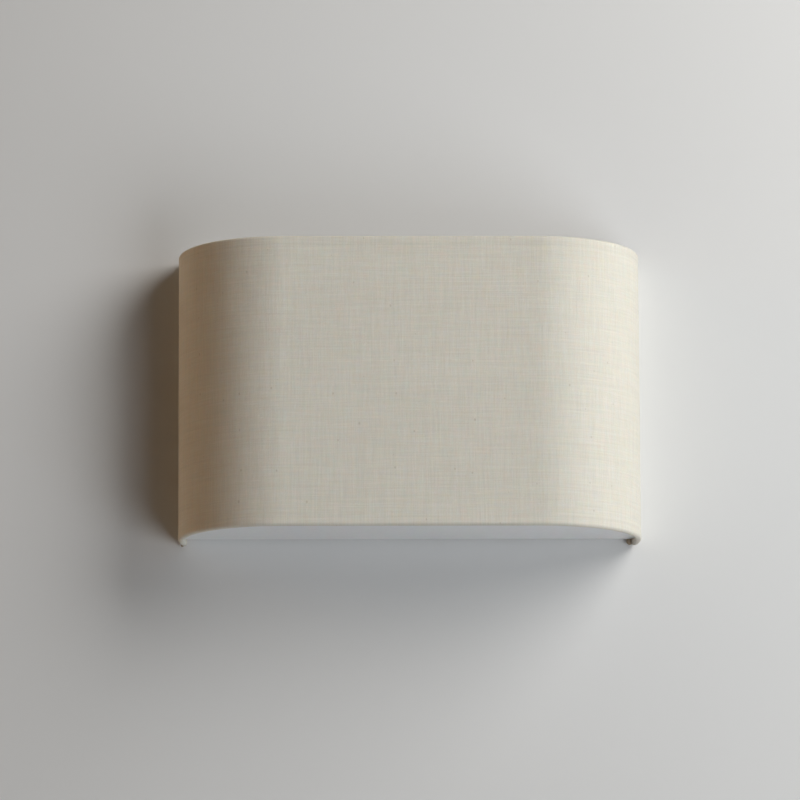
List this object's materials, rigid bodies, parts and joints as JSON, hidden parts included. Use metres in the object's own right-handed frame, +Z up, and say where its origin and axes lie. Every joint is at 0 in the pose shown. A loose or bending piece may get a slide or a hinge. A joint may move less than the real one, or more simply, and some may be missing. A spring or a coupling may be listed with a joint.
{
  "type": "fabric shade wall light",
  "caption": "Wall light with a D-plan linen shade on wire rings, an opal diffuser below, and upright screw-cap lamps on a pressed backplate.",
  "frame": {"origin": "middle of the wall strap's rear face, on the wall plane, at half the shade's height", "axes": "+Y into the wall, so the front faces -Y; +X to the right seen from the room; +Z up"},
  "size_m": [0.35, 0.1, 0.22],
  "materials": {
    "linen": "natural linen, matte",
    "lining": "white satin sheet",
    "diffuser": "opal white, satin",
    "frame_wire": "white powder coat",
    "white_steel": "white powder coat, fine texture",
    "zinc_steel": "bright zinc plate",
    "spring_steel": "nickel-plated spring steel",
    "rivet_steel": "zinc-plated",
    "nickel": "nickel plate, satin",
    "brass": "plain brass",
    "holder_white": "white thermoplastic",
    "block_white": "natural nylon",
    "grommet_black": "black rubber",
    "core_brown": "brown insulation",
    "core_blue": "blue insulation",
    "core_earth": "green and yellow insulation",
    "lamp_opal": "opal dome, satin",
    "lamp_collar": "white moulded plastic",
    "lamp_cap": "nickel-plated, bright",
    "lamp_insulator": "black glassy insulator"
  },
  "bodies": {
    "fixture": {"wall_strap": "zinc_steel", "strap_studs": "zinc_steel", "backplate": "white_steel", "clip_rivets": "rivet_steel", "bracket_rivets": "rivet_steel", "nipple_locknuts": "zinc_steel", "terminal_block": "block_white", "terminal_inserts": "brass", "clamp_screws": "zinc_steel", "block_screws": "zinc_steel", "earth_lead": "core_earth", "earth_tag": "brass", "earth_screw": "brass", "earth_washer": "zinc_steel", "left_cap_nut": "nickel", "left_lampholder_bracket": "white_steel", "left_lampholder_body": "holder_white", "left_lampholder_shell": "nickel", "left_lampholder_contact": "brass", "left_nipple": "zinc_steel", "left_wire_grommet": "grommet_black", "left_live_lead": "core_brown", "left_neutral_lead": "core_blue", "upper_left_clip": "spring_steel", "lower_left_clip": "spring_steel", "right_cap_nut": "nickel", "right_lampholder_bracket": "white_steel", "right_lampholder_body": "holder_white", "right_lampholder_shell": "nickel", "right_lampholder_contact": "brass", "right_nipple": "zinc_steel", "right_wire_grommet": "grommet_black", "right_live_lead": "core_brown", "right_neutral_lead": "core_blue", "upper_right_clip": "spring_steel", "lower_right_clip": "spring_steel"},
    "shade": {"shade_linen": "linen", "shade_lining": "lining", "diffuser": "diffuser", "upper_ring": "frame_wire", "lower_ring": "frame_wire", "upper_cross_bar": "frame_wire", "lower_cross_bar": "frame_wire", "left_strut": "frame_wire", "right_strut": "frame_wire"},
    "left_lamp": {"left_lamp_dome": "lamp_opal", "left_lamp_collar": "lamp_collar", "left_lamp_cap": "lamp_cap", "left_lamp_insulator": "lamp_insulator", "left_lamp_contact": "nickel"},
    "right_lamp": {"right_lamp_dome": "lamp_opal", "right_lamp_collar": "lamp_collar", "right_lamp_cap": "lamp_cap", "right_lamp_insulator": "lamp_insulator", "right_lamp_contact": "nickel"}
  },
  "joints": [
    {"name": "shade_pull", "type": "slide", "parent": "fixture", "child": "shade", "axis": [0, -1, 0], "range_m": [0, 0.12]},
    {"name": "left_lamp_lift", "type": "slide", "parent": "fixture", "child": "left_lamp", "axis": [0, 0, 1], "range_m": [0, 0.03]},
    {"name": "right_lamp_lift", "type": "slide", "parent": "fixture", "child": "right_lamp", "axis": [0, 0, 1], "range_m": [0, 0.03]}
  ]
}
